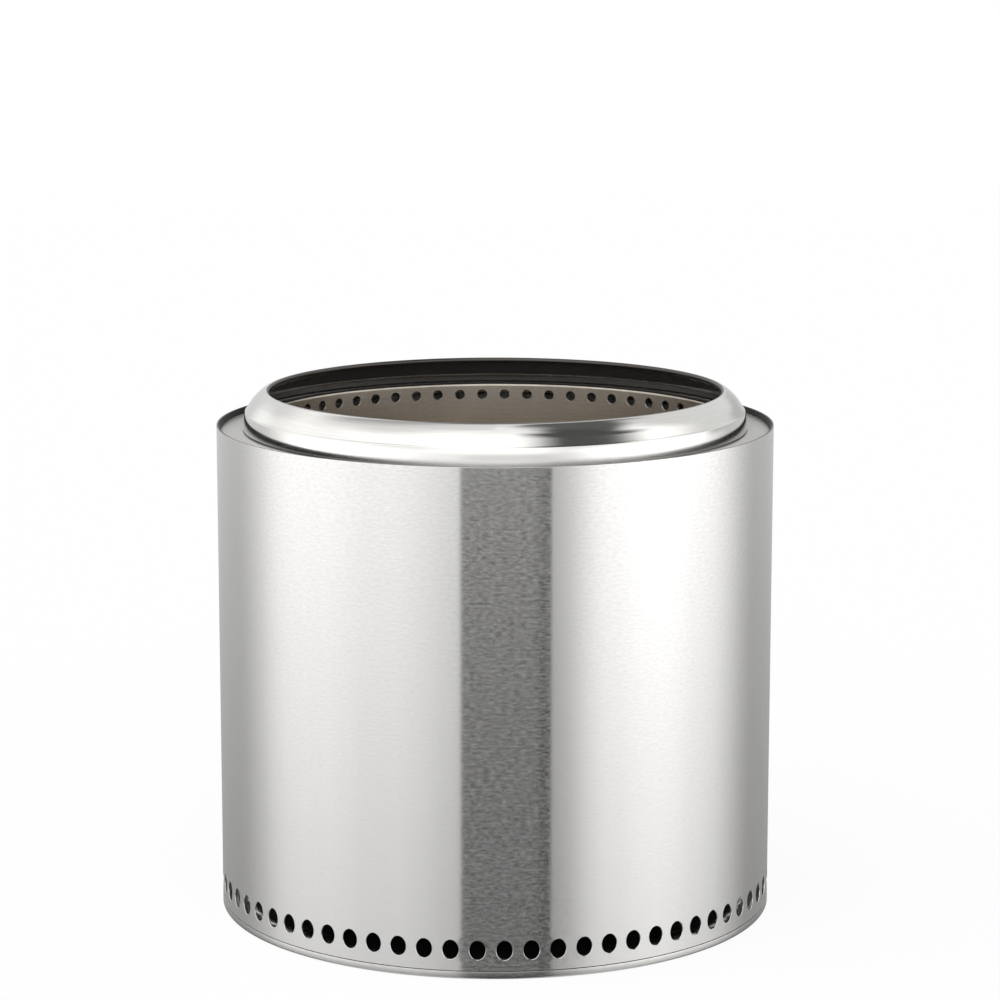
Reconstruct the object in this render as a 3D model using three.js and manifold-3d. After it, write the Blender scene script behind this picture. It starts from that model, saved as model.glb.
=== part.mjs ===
import * as THREE from "three";
import { mergeGeometries, mergeVertices } from "three/addons/utils/BufferGeometryUtils.js";
import Module from "manifold-3d";

// A double-walled steel fire pit: a vented drum, a burn chamber, and three pieces that lift out.
// Millimetres, +Z up, the origin on the ground at the drum's axis. The front is -Y.

const wasm = await Module();
wasm.setup();

// Drum sheet
const drumRadius = 190.5;
const drumHeight = 336;
const wallSheet = 1;
const footBandHeight = 5;

// Air vents near the ground, upright ovals, the first one just right of the front
const ventCount = 68;
const ventWidth = 10.5;
const ventHeight = 12.8;
const ventCentreHeight = 20.3;
const firstVentDegrees = 1.74;

// Pressed base: a flat foot ring round a raised recess
const plateSheet = 1;
const footWidth = 12.5;
const recessSlope = 4;
const recessHeight = 8;
const plateFlangeHeight = 12;
const footBend = 1.5;

// Deck between the walls, sunk below the drum's lip, with a raised seat for the chamber
const deckSheet = 1.2;
const deckRecess = 4;
const deckWidth = 18.1;
const seatRise = 6;
const seatWidth = 6.4;
const deckFlangeDepth = 12;
const deckInsideBend = 0.8;

// Flame ring
const ringSheet = 1.2;
const ringFaceWidth = 17.9;
const ringRise = 22.9;
const ringBeadRadius = 1.8;
const ringPlay = 0.8;

// Burn chamber and its upper air holes
const chamberSheet = 1;
const chamberBend = 1;
const chamberFlangeInset = 1;
const airHoleCount = 62;
const airHoleRadius = 3.5;
const airHoleDrop = 7;
const firstAirHoleDegrees = 3.34;

// Chamber floor, the ledge that carries the ash pan
const ledgeSheet = 1;
const ledgeWidth = 26;
const ledgeLipDrop = 6;
const ledgeRimDrop = 12;
const ledgeBend = 2;
const ledgeRimBend = 0.5;

// Brackets between the chamber floor and the base
const bracketCount = 4;
const bracketSheet = 1.5;
const bracketWidth = 30;
const bracketInset = 19;
const bracketTopLength = 13;
const bracketFootLength = 15;
const bracketBend = 1;

// Heat shield and its standoffs
const shieldInset = 18;
const shieldSheet = 1;
const shieldRim = 2.5;
const shieldBend = 1;
const standoffCount = 3;
const standoffHeight = 4;
const standoffRadius = 6;
const standoffInset = 28;

// Ash pan
const panSheet = 1;
const panDepth = 25.3;
const panFloorClearance = 2.9;
const panPlay = 2;
const panFlangeWidth = 13;
const panBend = 5;
const panRimBend = 1;
const panHoleCount = 16;
const panHoleRadius = 4;
const panHoleRise = 10;

// Folding ring in the middle of the pan, its saddle and rivets
const wireRadius = 1.5;
const loopHalfWidth = 18;
const loopReach = 22;
const loopCorner = 6;
const axlePlay = 0.4;
const saddleSheet = 1.2;
const saddleWidth = 14;
const saddleHalfLength = 12;
const rivetRadius = 1.5;
const rivetHeadRadius = 2.8;
const rivetHeadHeight = 1.2;
const rivetEdge = 4;

// Fire grate
const grateSheet = 2;
const grateInset = 4;
const grateDepth = 8.4;
const grateBend = 1;
const fingerHoleRadius = 12.5;
const grateHoleRadius = 6;
const grateRingCount = 4;
const grateRimWidth = 25;
const grateHolesPerStep = 6;

// Clearances, and how far a cutter runs past what it cuts
const seatGap = 0.3;
const overrun = 4;

// Facets of the round pieces, points of a hole, and steps of a bend
const drumFacets = ventCount;
const chamberFacets = airHoleCount / 2;
const pieceFacets = 34;
const ringFacets = 2 * pieceFacets;
const smallFacets = 12;
const wireFacets = 8;
const holePoints = 6;
const ventPoints = 8;
const bendSteps = 1;
const hemSteps = 3;
const beadSteps = 4;

// The flame ring's outer face below the bead: shares of the way from the opening to the skirt,
// and of the ring's rise over the drum's lip. The fourth point is the crease.
const ringOutlineShares = [
  [0.542, 0.843],
  [0.732, 0.69],
  [0.816, 0.533],
  [0.849, 0.476],
  [0.939, 0.38],
  [0.989, 0.253],
  [1, 0.12],
];

// Radii that follow, from the drum inwards
const wallInside = drumRadius - wallSheet;
const nestRadius = clearInside(wallInside, drumFacets);
const recessRadius = drumRadius - footWidth - recessSlope;
const ringSkirtRadius = drumRadius - deckWidth;
const ringOpeningRadius = ringSkirtRadius - ringFaceWidth;
const riserRadius = clearInside(ringSkirtRadius - ringSheet, pieceFacets) - ringPlay;
const chamberOutside = riserRadius - seatWidth;
const chamberRadius = chamberOutside - chamberSheet;
const ledgeHoleRadius = chamberRadius - ledgeWidth;
const bracketRiserRadius = ledgeHoleRadius + bracketInset;
const shieldRadius = ledgeHoleRadius - shieldInset;
const standoffCircleRadius = shieldRadius - standoffInset;
const panOutside = clearInside(ledgeHoleRadius, pieceFacets) - panPlay;
const panInside = panOutside - panSheet;
const panFlangeRadius = panInside + panFlangeWidth;
const grateRadius = panFlangeRadius - grateInset;
const grateRingPitch = (grateRadius - grateRimWidth) / grateRingCount;
const rivetOffset = saddleHalfLength - rivetEdge;

// Heights that follow, from the ground up
const plateTop = recessHeight + plateSheet;
const shieldUnderside = plateTop + seatGap + standoffHeight + seatGap;
const shieldTop = shieldUnderside + shieldSheet;
const panFloorHeight = shieldTop + shieldRim + panFloorClearance;
const panFloorTop = panFloorHeight + panSheet;
const panFlangeTop = panFloorHeight + panDepth;
const panHoleHeight = panFloorTop + panHoleRise;
const axleHeight = panFloorTop + seatGap + wireRadius;
const saddleFootTop = panFloorTop + seatGap + saddleSheet;
const ledgeHeight = panFlangeTop - panSheet - seatGap;
const ledgeUnderside = ledgeHeight - ledgeSheet;
const grateTop = panFlangeTop + seatGap + grateDepth;
const deckTop = drumHeight - deckRecess;
const seatTop = deckTop + seatRise;
const chamberTop = seatTop + seatGap + chamberSheet;
const ringFoot = deckTop + seatGap;
const ringTop = drumHeight + ringRise;

// The largest corner radius of a faceted piece that clears the flats of a faceted bore around it
function clearInside(boreRadius, facets) {
  return boreRadius * Math.cos(Math.PI / facets) - seatGap;
}

// The corner radius of a faceted bore whose flats clear a round piece inside it
function clearAround(radius, facets) {
  return (radius + seatGap) / Math.cos(Math.PI / facets);
}

// A path of corners [x, y, bend]; a corner with a bend is rounded that far along both its sides.
function bentPath(corners) {
  const points = corners.map(([x, y]) => new THREE.Vector2(x, y));
  return points.flatMap((corner, i) => {
    const bend = corners[i][2] ?? 0;
    if (bend === 0) return [corner];
    const [from, to] = [points[i - 1], points[i + 1]].map((next) =>
      next.clone().sub(corner).setLength(bend).add(corner),
    );
    return new THREE.QuadraticBezierCurve(from, corner, to).getPoints(bendSteps);
  });
}

// The points of an arc, from one angle to another, in radians
function arcPoints(x, y, radius, from, to, steps) {
  return Array.from({ length: steps + 1 }, (_, i) => {
    const angle = from + ((to - from) * i) / steps;
    return new THREE.Vector2(x + radius * Math.cos(angle), y + radius * Math.sin(angle));
  });
}

// A path moved to its own right, its corners mitred
function movedRight(path, distance) {
  return path.map((point, i) => {
    const sides = [path.slice(i - 1, i + 1), path.slice(i, i + 2)].filter((ends) => ends.length === 2);
    const ways = sides.map(([from, to]) => to.clone().sub(from).normalize());
    const normals = ways.map((way) => new THREE.Vector2(way.y, -way.x));
    const mitre = normals.reduce((sum, n) => sum.add(n), new THREE.Vector2()).normalize();
    return point.clone().addScaledVector(mitre, distance / mitre.dot(normals[0]));
  });
}

// The section of a bent sheet: its face along the path, and the other face to the path's right
function sheetSection(path, thickness) {
  return [...movedRight(path, thickness), ...path.slice().reverse()];
}

// A section [radius, height] turned about the drum's axis; angles run from the front towards +X
function turned(section, facets, startAngle = 0) {
  const profile = section[0].x === 0 ? section : [...section, section[0]];
  return new THREE.LatheGeometry(profile, facets, startAngle).rotateX(Math.PI / 2);
}

// A section in the plane of a direction and +Z, given a width across that direction
function extrudedAcross(section, width) {
  return new THREE.ExtrudeGeometry(new THREE.Shape(section), { depth: width, bevelEnabled: false })
    .rotateX(Math.PI / 2)
    .translate(0, width / 2, 0);
}

// An upright prism of an ellipse, centred on the origin
function prism(radiusX, radiusY, length, points) {
  return new THREE.CylinderGeometry(1, 1, length, points)
    .scale(radiusX, 1, radiusY)
    .rotateX(Math.PI / 2);
}

function toSolid(geometry) {
  const bare = geometry.clone();
  bare.deleteAttribute("normal");
  bare.deleteAttribute("uv");
  const merged = mergeVertices(bare, 1e-3);
  return new wasm.Manifold(
    new wasm.Mesh({
      numProp: 3,
      vertProperties: merged.attributes.position.array,
      triVerts: new Uint32Array(merged.index.array),
    }),
  );
}

function toGeometry(solid) {
  const { vertProperties, triVerts } = solid.getMesh();
  return new THREE.BufferGeometry()
    .setAttribute("position", new THREE.BufferAttribute(vertProperties, 3))
    .setIndex(new THREE.BufferAttribute(triVerts, 1));
}

function cut(geometry, cutters) {
  return toGeometry(toSolid(geometry).subtract(toSolid(mergeGeometries(cutters))));
}

function join(first, second) {
  return toGeometry(toSolid(first).add(toSolid(second)));
}

// Cutters through a standing wall, at one height, evenly round the axis
function wallCutters(count, firstAngle, halfWidth, halfHeight, radius, height, points) {
  return Array.from({ length: count }, (_, i) =>
    prism(halfWidth, halfHeight, 2 * overrun, points)
      .rotateX(Math.PI / 2)
      .translate(0, -radius, height)
      .rotateZ(firstAngle + (i * 2 * Math.PI) / count),
  );
}

// Drum

function outerWall() {
  const firstVent = THREE.MathUtils.degToRad(firstVentDegrees);
  const hemFoot = deckTop + seatGap;
  const section = [
    new THREE.Vector2(wallInside, footBandHeight + seatGap),
    new THREE.Vector2(drumRadius, footBandHeight + seatGap),
    ...arcPoints(wallInside, drumHeight - wallSheet, wallSheet, 0, Math.PI, hemSteps),
    new THREE.Vector2(wallInside - wallSheet, hemFoot),
    new THREE.Vector2(wallInside, hemFoot),
  ];
  const wall = turned(section, drumFacets, firstVent - Math.PI / drumFacets);
  const [halfWidth, halfHeight] = [ventWidth / 2, ventHeight / 2];
  return cut(
    wall,
    wallCutters(ventCount, firstVent, halfWidth, halfHeight, wallInside, ventCentreHeight, ventPoints),
  );
}

function bottomPlate() {
  const recess = [
    [recessRadius + recessSlope, 0],
    [recessRadius, recessHeight],
    [0, recessHeight],
  ];
  const flange = [
    [nestRadius, plateFlangeHeight],
    [nestRadius, 0],
  ];
  const footBand = [
    [drumRadius, 0, footBend],
    [drumRadius, footBandHeight],
    [nestRadius, footBandHeight],
    [nestRadius, plateFlangeHeight],
  ];
  const outside = bentPath([...recess.toReversed(), ...footBand]);
  const inside = movedRight(bentPath([...flange, ...recess]), plateSheet);
  const start = THREE.MathUtils.degToRad(firstVentDegrees) - Math.PI / drumFacets;
  return turned([...outside, ...inside], drumFacets, start);
}

function topDeck() {
  const outsideBend = deckSheet + deckInsideBend;
  const path = bentPath([
    [clearAround(chamberOutside + chamberBend, pieceFacets), seatTop],
    [riserRadius, seatTop, outsideBend],
    [riserRadius, deckTop, deckInsideBend],
    [nestRadius, deckTop, outsideBend],
    [nestRadius, deckTop - deckFlangeDepth],
  ]);
  return turned(sheetSection(path, deckSheet), pieceFacets);
}

// Burn chamber

function innerWall() {
  const firstHole = THREE.MathUtils.degToRad(firstAirHoleDegrees);
  const path = bentPath([
    [chamberRadius, ledgeHeight + seatGap],
    [chamberRadius, chamberTop, chamberSheet + chamberBend],
    [riserRadius - chamberFlangeInset, chamberTop],
  ]);
  const start = firstHole - Math.PI / airHoleCount;
  const wall = turned(sheetSection(path, chamberSheet), chamberFacets, start);
  const height = seatTop - airHoleDrop;
  return cut(
    wall,
    wallCutters(airHoleCount, firstHole, airHoleRadius, airHoleRadius, chamberRadius, height, holePoints),
  );
}

function chamberFloor() {
  const rim = clearAround(chamberOutside, pieceFacets) + ledgeSheet;
  const path = bentPath([
    [ledgeHoleRadius, ledgeHeight - ledgeLipDrop],
    [ledgeHoleRadius, ledgeHeight, ledgeSheet + ledgeBend],
    [rim, ledgeHeight, ledgeSheet + ledgeRimBend],
    [rim, ledgeHeight - ledgeRimDrop],
  ]);
  return turned(sheetSection(path, ledgeSheet), pieceFacets);
}

function floorBracket() {
  const top = ledgeUnderside - seatGap;
  const foot = plateTop + seatGap + bracketSheet;
  const path = bentPath([
    [bracketRiserRadius - bracketTopLength, top],
    [bracketRiserRadius, top, bracketSheet + bracketBend],
    [bracketRiserRadius, foot, bracketBend],
    [bracketRiserRadius + bracketFootLength, foot],
  ]);
  return extrudedAcross(sheetSection(path, bracketSheet), bracketWidth);
}

function heatShield() {
  const path = bentPath([
    [0, shieldTop],
    [shieldRadius, shieldTop, shieldBend],
    [shieldRadius, shieldTop + shieldRim],
  ]);
  return turned(sheetSection(path, shieldSheet), pieceFacets);
}

function shieldStandoff() {
  return prism(standoffRadius, standoffRadius, standoffHeight, smallFacets).translate(
    standoffCircleRadius,
    0,
    plateTop + seatGap + standoffHeight / 2,
  );
}

// Lift-out pieces

function flameRing() {
  const beadCentre = [ringOpeningRadius + ringBeadRadius, ringTop - ringBeadRadius];
  const bead = arcPoints(...beadCentre, ringBeadRadius, (3 * Math.PI) / 2, Math.PI / 2, beadSteps);
  const face = ringOutlineShares.map(
    ([across, up]) =>
      new THREE.Vector2(
        THREE.MathUtils.lerp(ringOpeningRadius, ringSkirtRadius, across),
        drumHeight + up * ringRise,
      ),
  );
  const foot = new THREE.Vector2(ringSkirtRadius, ringFoot);
  return turned(sheetSection([...bead, ...face, foot], ringSheet), ringFacets);
}

function ashPan() {
  const path = bentPath([
    [0, panFloorTop],
    [panInside, panFloorTop, panBend],
    [panInside, panFlangeTop, panRimBend],
    [panFlangeRadius, panFlangeTop],
  ]);
  const pan = turned(sheetSection(path, panSheet), pieceFacets);
  const airHoles = wallCutters(
    panHoleCount,
    0,
    panHoleRadius,
    panHoleRadius,
    panInside,
    panHoleHeight,
    holePoints,
  );
  const rivetHoleRadius = clearAround(rivetRadius, smallFacets);
  const rivetHoles = [-rivetOffset, rivetOffset].map((y) =>
    prism(rivetHoleRadius, rivetHoleRadius, 2 * overrun, smallFacets).translate(0, y, panFloorTop),
  );
  return cut(pan, [...airHoles, ...rivetHoles]);
}

function liftRingSaddle() {
  const archRadius = wireRadius + axlePlay + saddleSheet;
  const path = [
    new THREE.Vector2(-saddleHalfLength, saddleFootTop),
    new THREE.Vector2(-archRadius, saddleFootTop),
    ...arcPoints(0, axleHeight, archRadius, Math.PI, 0, beadSteps),
    new THREE.Vector2(archRadius, saddleFootTop),
    new THREE.Vector2(saddleHalfLength, saddleFootTop),
  ];
  const strap = extrudedAcross(sheetSection(path, saddleSheet), saddleWidth).rotateZ(Math.PI / 2);
  const holeRadius = clearAround(rivetRadius, smallFacets);
  const holes = [-rivetOffset, rivetOffset].map((y) =>
    prism(holeRadius, holeRadius, 2 * overrun, smallFacets).translate(0, y, saddleFootTop),
  );
  return cut(strap, holes);
}

function saddleRivet() {
  const headSeat = saddleFootTop + seatGap;
  const tailSeat = panFloorHeight - seatGap;
  const section = [
    [0, tailSeat - rivetHeadHeight],
    [rivetHeadRadius, tailSeat - rivetHeadHeight],
    [rivetHeadRadius, tailSeat],
    [rivetRadius, tailSeat],
    [rivetRadius, headSeat],
    [rivetHeadRadius, headSeat],
    [rivetRadius, headSeat + rivetHeadHeight],
    [0, headSeat + rivetHeadHeight],
  ];
  return turned(bentPath(section), smallFacets);
}

// The ring lies folded to the front, its axle along X
function panLiftRing() {
  const corner = new THREE.Vector3(loopHalfWidth, -loopReach, axleHeight);
  const legEnd = new THREE.Vector3(loopHalfWidth, 0, axleHeight);
  const bendFrom = new THREE.Vector3(loopHalfWidth, loopCorner - loopReach, axleHeight);
  const bendTo = new THREE.Vector3(loopHalfWidth - loopCorner, -loopReach, axleHeight);
  const mirrored = (point) => new THREE.Vector3(-point.x, point.y, point.z);
  const route = new THREE.CurvePath();
  route.add(new THREE.LineCurve3(legEnd, bendFrom));
  route.add(new THREE.QuadraticBezierCurve3(bendFrom, corner, bendTo));
  route.add(new THREE.LineCurve3(bendTo, mirrored(bendTo)));
  route.add(new THREE.QuadraticBezierCurve3(mirrored(bendTo), mirrored(corner), mirrored(bendFrom)));
  route.add(new THREE.LineCurve3(mirrored(bendFrom), mirrored(legEnd)));
  const wire = new THREE.Shape(arcPoints(0, 0, wireRadius, 0, 2 * Math.PI, wireFacets).slice(1));
  const steps = Math.round(route.getLength() / (2 * wireRadius));
  const loop = new THREE.ExtrudeGeometry(wire, { extrudePath: route, steps, bevelEnabled: false });
  const axle = prism(wireRadius, wireRadius, 2 * (loopHalfWidth + wireRadius), wireFacets)
    .rotateY(Math.PI / 2)
    .translate(0, 0, axleHeight);
  return join(axle, loop);
}

function fireGrate() {
  const path = bentPath([
    [fingerHoleRadius, grateTop],
    [grateRadius, grateTop, grateSheet + grateBend],
    [grateRadius, panFlangeTop + seatGap],
  ]);
  const plate = turned(sheetSection(path, grateSheet), pieceFacets);
  const holes = Array.from({ length: grateRingCount }, (_, k) => k + 1).flatMap((ring) =>
    Array.from({ length: ring * grateHolesPerStep }, (_, i, all = ring * grateHolesPerStep) =>
      prism(grateHoleRadius, grateHoleRadius, 2 * overrun, holePoints)
        .translate(0, -ring * grateRingPitch, grateTop)
        .rotateZ((i * 2 * Math.PI) / all),
    ),
  );
  return cut(plate, holes);
}

// Stainless steels, from the brushed drum to the fire-darkened inside
const steel = (color, roughness) => new THREE.MeshStandardMaterial({ color, roughness, metalness: 1 });
const brushedSteel = steel("#c9c9c7", 0.34);
const pressedSteel = steel("#cfcfcd", 0.22);
const chamberSteel = steel("#8f8a84", 0.42);
const baseSteel = steel("#b4b4b1", 0.4);
const panSteel = steel("#a3a09b", 0.38);
const grateSteel = steel("#7c7772", 0.46);
const wireSteel = steel("#c2c2c0", 0.25);

const firePit = new THREE.Group();

function place(name, geometry, material, turn = 0, offset = 0) {
  const mesh = new THREE.Mesh(geometry, material);
  mesh.name = name;
  mesh.rotation.z = turn;
  mesh.position.y = offset;
  firePit.add(mesh);
}

place("outer_wall", outerWall(), brushedSteel);
place("bottom_plate", bottomPlate(), baseSteel);
place("top_deck", topDeck(), pressedSteel);
place("inner_wall", innerWall(), chamberSteel);
place("chamber_floor", chamberFloor(), chamberSteel);
for (let i = 0; i < bracketCount; i++)
  place(`floor_bracket_${i + 1}`, floorBracket(), baseSteel, ((i + 0.5) * 2 * Math.PI) / bracketCount);
place("heat_shield", heatShield(), baseSteel);
for (let i = 0; i < standoffCount; i++)
  place(`shield_standoff_${i + 1}`, shieldStandoff(), baseSteel, (i * 2 * Math.PI) / standoffCount);
place("ash_pan", ashPan(), panSteel);
place("lift_ring_saddle", liftRingSaddle(), panSteel);
[-rivetOffset, rivetOffset].forEach((offset, i) =>
  place(`saddle_rivet_${i + 1}`, saddleRivet(), wireSteel, 0, offset),
);
place("pan_lift_ring", panLiftRing(), wireSteel);
place("fire_grate", fireGrate(), grateSteel);
place("flame_ring", flameRing(), pressedSteel);

export default firePit;
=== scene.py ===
"""Dresses a double-walled steel fire pit in its real shapes and finishes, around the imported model.

Metres, +Z up, the origin on the ground at the drum's axis, the front towards -Y.
"""

import logging
import math
from collections.abc import Sequence
from dataclasses import dataclass
from enum import Enum

import bmesh
import bpy
from bmesh.types import BMEdge, BMesh, BMVert
from bpy.types import Material, Node, NodeSocket, NodeTree, Object, World
from mathutils import Matrix, Vector


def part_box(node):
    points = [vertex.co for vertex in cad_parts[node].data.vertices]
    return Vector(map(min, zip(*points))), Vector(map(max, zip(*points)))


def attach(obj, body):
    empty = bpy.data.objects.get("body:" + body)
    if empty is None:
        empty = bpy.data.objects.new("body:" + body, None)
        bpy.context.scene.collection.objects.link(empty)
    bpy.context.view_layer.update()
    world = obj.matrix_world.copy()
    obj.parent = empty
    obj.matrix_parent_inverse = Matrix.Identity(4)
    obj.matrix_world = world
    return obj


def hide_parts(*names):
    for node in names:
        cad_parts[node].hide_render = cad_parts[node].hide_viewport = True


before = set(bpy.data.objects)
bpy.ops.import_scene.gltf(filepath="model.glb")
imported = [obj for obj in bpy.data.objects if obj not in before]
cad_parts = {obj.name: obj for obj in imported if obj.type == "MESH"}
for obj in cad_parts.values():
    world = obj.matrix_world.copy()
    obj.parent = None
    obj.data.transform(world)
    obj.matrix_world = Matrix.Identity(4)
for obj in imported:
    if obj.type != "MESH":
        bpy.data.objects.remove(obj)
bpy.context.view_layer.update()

log = logging.getLogger("fire_pit")

MM = 0.001
FULL_TURN = 2 * math.pi
UP = Vector((0.0, 0.0, 1.0))

# The drum's radius, at which lengths along brush lines and the weld's width are true
DRUM_RADIUS = 190 * MM

# Meshing: steps of a full turn, segments of a bend, the fold past which an edge is drawn sharp, and
# the fold past which it counts as a cut edge
TURN_STEPS = 272
MEDIUM_TURN_STEPS = 192
SMALL_TURN_STEPS = 48
RIVET_TURN_STEPS = 40
WIRE_SIDES = 20
GRATE_HOLE_SIDES = 28
BEND_STEPS = 6
WIRE_BEND_STEPS = 8
ROUND_EDGE_STEPS = 2
SHARP_ANGLE = math.radians(32)
CUT_ANGLE = math.radians(60)

# Points closer than this are one point
WELD_DISTANCE = 0.002 * MM
WIRE_WELD_DISTANCE = 0.01 * MM

# The rounding that shearing and tumbling leave on a sheet's cut edges, by its thickness
THIN_EDGE = 0.2 * MM
STRIP_EDGE = 0.25 * MM
PLATE_EDGE = 0.35 * MM

# How rough the brush marks' own pattern is, and the limits of a finish's roughness
MARK_ROUGHNESS = 0.6
SMOOTHEST = 0.04
ROUGHEST = 0.9

# The shader counts this turn in full turns: a quarter smears a highlight across the brush lines
ACROSS_BRUSH = 0.25


# Colour and nodes


def linear(hex_color: str) -> tuple[float, float, float, float]:
    """Turns an sRGB hex colour into the linear colour that a shader takes.

    Args:
        hex_color: six hex digits after a #.

    Returns:
        Linear red, green, blue and an alpha of 1.
    """
    digits = hex_color.lstrip("#")
    shares = [int(digits[i : i + 2], 16) / 255 for i in (0, 2, 4)]
    red, green, blue = (s / 12.92 if s <= 0.04045 else ((s + 0.055) / 1.055) ** 2.4 for s in shares)
    return red, green, blue, 1.0


WHITE = linear("#FFFFFF")


def empty_tree(owner: Material | World) -> NodeTree:
    """Turns on the nodes of a material or a world, and takes the default ones away.

    Args:
        owner: the material or the world.

    Returns:
        Its node tree, empty.
    """
    owner.use_nodes = True
    owner.node_tree.nodes.clear()
    return owner.node_tree


def add(
    tree: NodeTree, kind: str, inputs: dict[str | int, object] | None = None, **settings: object,
) -> Node:
    """Adds a node with its settings, values and links.

    Args:
        tree: the node tree.
        kind: the node's type name, without its ShaderNode prefix.
        inputs: each input's value or socket, by name or place.
        settings: attributes of the node.

    Returns:
        The new node.
    """
    node = tree.nodes.new("ShaderNode" + kind)
    for key, value in settings.items():
        setattr(node, key, value)
    for key, value in (inputs or {}).items():
        if isinstance(value, NodeSocket):
            tree.links.new(value, node.inputs[key])
        else:
            node.inputs[key].default_value = value
    return node


def maths(tree: NodeTree, operation: str, *values: object) -> NodeSocket:
    """Adds a Math node that works on numbers or sockets, and gives its result's socket."""
    return add(tree, "Math", dict(enumerate(values)), operation=operation).outputs[0]


def ramp(
    tree: NodeTree, value: NodeSocket, low: float, high: float,
    to_low: float = 0.0, to_high: float = 1.0,
) -> NodeSocket:
    """Turns a stretch of a value, from low to high, smoothly into one from to_low to to_high."""
    span = {"Value": value, "From Min": low, "From Max": high, "To Min": to_low, "To Max": to_high}
    return add(tree, "MapRange", span, interpolation_type="SMOOTHSTEP").outputs["Result"]


def angle_from_front(tree: NodeTree, x: NodeSocket, y: NodeSocket) -> NodeSocket:
    """Works out a place's angle round Z, in radians, from the front (-Y) towards +X."""
    return maths(tree, "ARCTAN2", x, maths(tree, "MULTIPLY", y, -1.0))


def blend_color(tree: NodeTree, share: object, first: object, second: object) -> NodeSocket:
    """Mixes two colours, by the second one's share, and gives the result's socket."""
    return add(tree, "Mix", {0: share, 6: first, 7: second}, data_type="RGBA").outputs[2]


# Sheets of metal


@dataclass(frozen=True)
class Corner:
    """A corner of a sheet's path: its radius or reach, its height and its bend.

    The bend is how far before and after the corner the sheet starts to curve.
    """

    reach: float
    height: float
    bend: float = 0.0


def bent_path(corners: Sequence[Corner]) -> BMesh:
    """Draws a path as edges in the XZ plane, with its bends rounded.

    Args:
        corners: the path's corners in order.

    Returns:
        A mesh of edges alone.
    """
    path = bmesh.new()
    verts = [path.verts.new((corner.reach, 0.0, corner.height)) for corner in corners]
    for pair in zip(verts, verts[1:]):
        path.edges.new(pair)
    for vert, corner in zip(verts, corners):
        if corner.bend > 0:
            bmesh.ops.bevel(
                path, geom=[vert], offset=corner.bend, offset_type="OFFSET",
                segments=BEND_STEPS, profile=0.5, affect="VERTICES", material=-1,
            )
    bmesh.ops.remove_doubles(path, verts=path.verts, dist=WELD_DISTANCE)
    return path


def stations(corners: Sequence[Corner]) -> list[tuple[float, float]]:
    """Lists the points of a bent path from its first corner to its last.

    Args:
        corners: the path's corners in order.

    Returns:
        Each point's radius and height.
    """
    path = bent_path(corners)
    start = Vector((corners[0].reach, 0.0, corners[0].height))
    vert = min(path.verts, key=lambda v: (v.co - start).length)
    walked, edge = [vert], None
    while ahead := [e for e in vert.link_edges if e is not edge]:
        edge = ahead[0]
        vert = edge.other_vert(vert)
        walked.append(vert)
    points = [(v.co.x, v.co.z) for v in walked]
    path.free()
    return points


def close_seams(mesh: BMesh) -> None:
    """Joins the points that meet, and drops the edges that have no length."""
    bmesh.ops.remove_doubles(mesh, verts=mesh.verts, dist=WELD_DISTANCE)
    bmesh.ops.dissolve_degenerate(mesh, edges=mesh.edges, dist=WELD_DISTANCE / 2)


def swing(mesh: BMesh, angle: float) -> None:
    """Turns a mesh round Z by an angle in radians."""
    turn = Matrix.Rotation(angle, 3, "Z")
    bmesh.ops.rotate(mesh, verts=mesh.verts, cent=(0, 0, 0), matrix=turn)


def draw_edges(mesh: BMesh, edges: list[BMEdge]) -> tuple[list[BMVert], list[BMEdge]]:
    """Draws new faces out of edges, with no width yet, and gives their new points and edges."""
    drawn = bmesh.ops.extrude_edge_only(mesh, edges=edges)["geom"]
    return [g for g in drawn if isinstance(g, BMVert)], [g for g in drawn if isinstance(g, BMEdge)]


def turn_round(mesh: BMesh, steps: int) -> None:
    """Spins all of a mesh's edges a full turn round Z, and closes its seam and its pole.

    Args:
        mesh: a path drawn in the XZ plane.
        steps: steps of the turn.
    """
    bmesh.ops.spin(
        mesh, geom=mesh.verts[:] + mesh.edges[:], axis=UP, cent=(0, 0, 0), angle=FULL_TURN,
        steps=steps, use_merge=True,
    )
    close_seams(mesh)


def face_way(mesh: BMesh, place: Vector, outwards: Vector) -> None:
    """Makes all faces of an open sheet agree, and the one nearest a place look a given way.

    Args:
        mesh: the sheet.
        place: a point on the sheet.
        outwards: the way that the face there looks.
    """
    bmesh.ops.recalc_face_normals(mesh, faces=mesh.faces)
    nearest = min(mesh.faces, key=lambda face: (face.calc_center_median() - place).length)
    if nearest.normal.dot(outwards) < 0:
        bmesh.ops.reverse_faces(mesh, faces=mesh.faces)


def thicken(mesh: BMesh, corners: Sequence[Corner], sheet: float) -> BMesh:
    """Gives an open sheet its metal, to the right of the path that it was drawn from.

    Args:
        mesh: the open sheet.
        corners: its path.
        sheet: the metal's thickness.

    Returns:
        The closed sheet.
    """
    first, second = (Vector((corner.reach, 0.0, corner.height)) for corner in corners[:2])
    along = second - first
    face_way(mesh, first + along / 8, Vector((-along.z, 0.0, along.x)))
    bmesh.ops.solidify(mesh, geom=mesh.faces[:], thickness=sheet)
    return mesh


def turned_sheet(corners: Sequence[Corner], sheet: float, steps: int = TURN_STEPS) -> BMesh:
    """Turns a bent sheet round Z. Its metal lies to the right of the path.

    Args:
        corners: its path, radius by height.
        sheet: the metal's thickness.
        steps: steps of the turn.

    Returns:
        The closed sheet.
    """
    mesh = bent_path(corners)
    turn_round(mesh, steps)
    return thicken(mesh, corners, sheet)


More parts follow.
